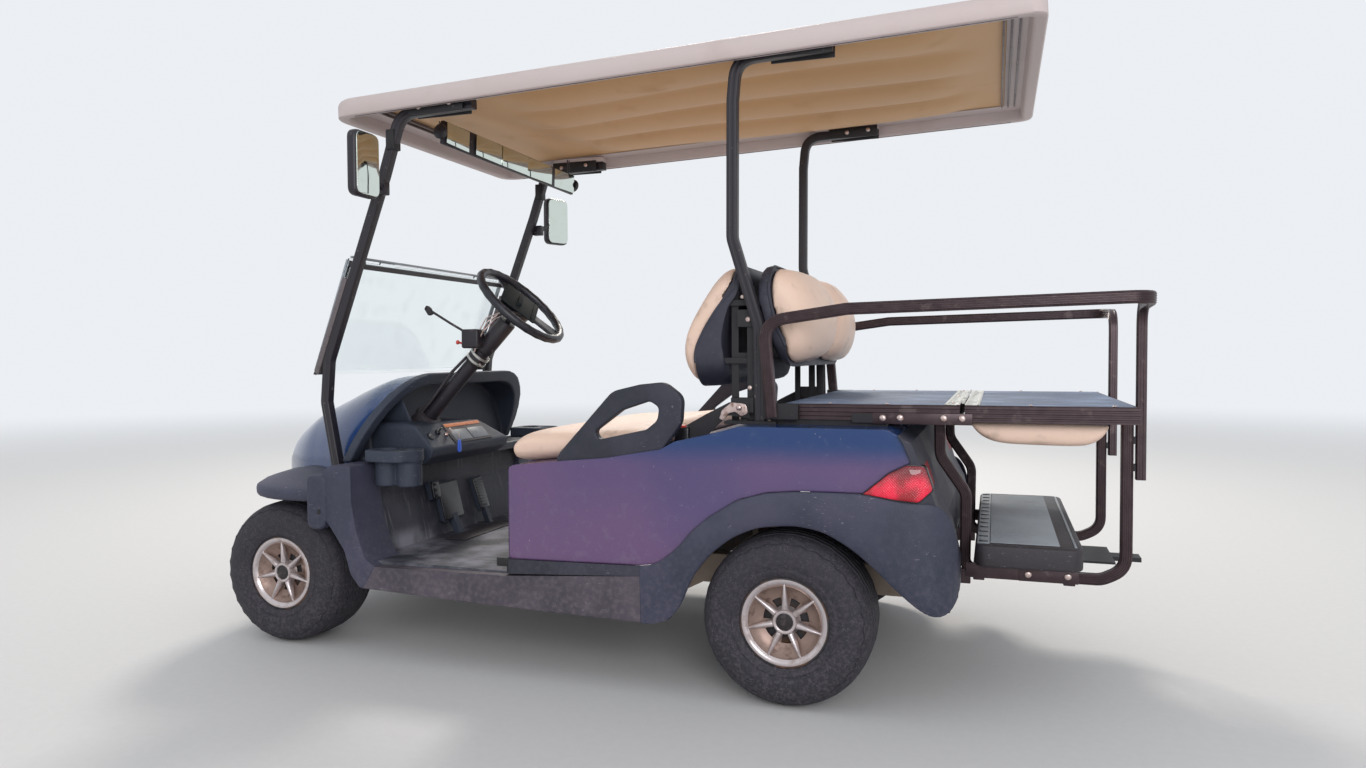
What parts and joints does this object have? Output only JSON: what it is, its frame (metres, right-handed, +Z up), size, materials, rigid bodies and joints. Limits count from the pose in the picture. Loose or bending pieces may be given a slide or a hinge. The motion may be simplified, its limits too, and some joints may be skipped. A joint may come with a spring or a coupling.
{
  "type": "golf cart",
  "caption": "Open golf cart with a roof, folding windshield, front bench seat and a rear-facing flip seat that folds out to a cargo deck.",
  "frame": {"origin": "on the floor under the middle of the cart's bounding box", "axes": "+X forward, +Y to the cart's left, +Z up"},
  "size_m": [2.856, 1.364, 1.7949],
  "materials": {
    "tyre_rubber": "matte",
    "silver_trim": "satin",
    "blue_panel": "gloss",
    "dark_plastic": "matte",
    "roof_plastic": "satin",
    "tan_vinyl": "satin",
    "black_steel": "satin",
    "frame_metal": "satin",
    "cast_metal": "rough",
    "bronze_tube": "satin",
    "clear_pane": "gloss",
    "red_lens": "gloss",
    "clear_lens": "gloss",
    "mirror_face": "mirror"
  },
  "bodies": {
    "chassis": {"backrest_cushions": "tan_vinyl", "backrest_shells": "dark_plastic", "belt_straps": "dark_plastic", "centre_mirror": "dark_plastic", "cup_holders": "dark_plastic", "dashboard": "dark_plastic", "deck_fixed": "bronze_tube", "drawbar": "black_steel", "floor_pan": "dark_plastic", "footrest": "dark_plastic", "frame_rails": "frame_metal", "front_axle_beam": "black_steel", "front_bumper": "dark_plastic", "front_cowl": "blue_panel", "front_fenders": "dark_plastic", "front_struts": "black_steel", "handrails": "bronze_tube", "head_lamps": "clear_lens", "hip_restraints": "dark_plastic", "kit_brackets": "bronze_tube", "kit_frame": "bronze_tube", "mirror_faces": "mirror_face", "pedals": "dark_plastic", "powertrain_block": "cast_metal", "rear_axle": "black_steel", "rear_body": "blue_panel", "rear_leaf_springs": "black_steel", "rear_skirt": "dark_plastic", "rear_struts": "black_steel", "rocker_panels": "dark_plastic", "roof": "roof_plastic", "side_mirrors": "dark_plastic", "steering_column": "black_steel", "tail_lamps": "red_lens", "windshield_clips": "dark_plastic", "windshield_lower": "clear_pane"},
    "wheel_fl": {"rim_front_left": "silver_trim", "tyre_front_left": "tyre_rubber"},
    "wheel_fr": {"rim_front_right": "silver_trim", "tyre_front_right": "tyre_rubber"},
    "wheel_rl": {"rim_rear_left": "silver_trim", "tyre_rear_left": "tyre_rubber"},
    "wheel_rr": {"rim_rear_right": "silver_trim", "tyre_rear_right": "tyre_rubber"},
    "knuckle_l": {"knuckle_left": "black_steel"},
    "knuckle_r": {"knuckle_right": "black_steel"},
    "steering": {"steering_wheel": "dark_plastic"},
    "windshield": {"windshield_upper": "clear_pane"},
    "folding_deck": {"deck_folding": "bronze_tube", "deck_cushion": "tan_vinyl"},
    "seat": {"seat_bottom": "tan_vinyl"}
  },
  "joints": [
    {"name": "steer_left", "type": "hinge", "parent": "chassis", "child": "knuckle_l", "pos_m": [1.144, 0.368, 0.2285], "axis": [0, 0, 1], "range_deg": [-27, 27]},
    {"name": "steer_right", "type": "hinge", "parent": "chassis", "child": "knuckle_r", "pos_m": [1.144, -0.368, 0.2285], "axis": [0, 0, 1], "range_deg": [-27, 27]},
    {"name": "wheel_front_left_spin", "type": "hinge", "parent": "knuckle_l", "child": "wheel_fl", "pos_m": [1.144, 0.438, 0.2285], "axis": [0, 1, 0], "continuous": true},
    {"name": "wheel_front_right_spin", "type": "hinge", "parent": "knuckle_r", "child": "wheel_fr", "pos_m": [1.144, -0.438, 0.2285], "axis": [0, 1, 0], "continuous": true},
    {"name": "wheel_rear_left_spin", "type": "hinge", "parent": "chassis", "child": "wheel_rl", "pos_m": [-0.52, 0.489, 0.2285], "axis": [0, 1, 0], "continuous": true},
    {"name": "wheel_rear_right_spin", "type": "hinge", "parent": "chassis", "child": "wheel_rr", "pos_m": [-0.52, -0.489, 0.2285], "axis": [0, 1, 0], "continuous": true},
    {"name": "steering_wheel_turn", "type": "hinge", "parent": "chassis", "child": "steering", "pos_m": [0.418, 0.25, 1.087], "axis": [-0.6972, 0, 0.7169], "range_deg": [-324, 324]},
    {"name": "windshield_fold", "type": "hinge", "parent": "chassis", "child": "windshield", "pos_m": [0.9, 0, 1.24], "axis": [0, -1, 0], "range_deg": [0, 180]},
    {"name": "deck_fold", "type": "hinge", "parent": "chassis", "child": "folding_deck", "pos_m": [-0.957, 0, 0.797], "axis": [0, 1, 0], "range_deg": [0, 180]},
    {"name": "seat_lift", "type": "hinge", "parent": "chassis", "child": "seat", "pos_m": [-0.12, 0, 0.66], "axis": [0, -1, 0], "range_deg": [0, 40]}
  ],
  "couplings": [
    {"joint": "steer_right", "follows": "steer_left", "ratio": 1},
    {"joint": "steering_wheel_turn", "follows": "steer_left", "ratio": 12}
  ]
}
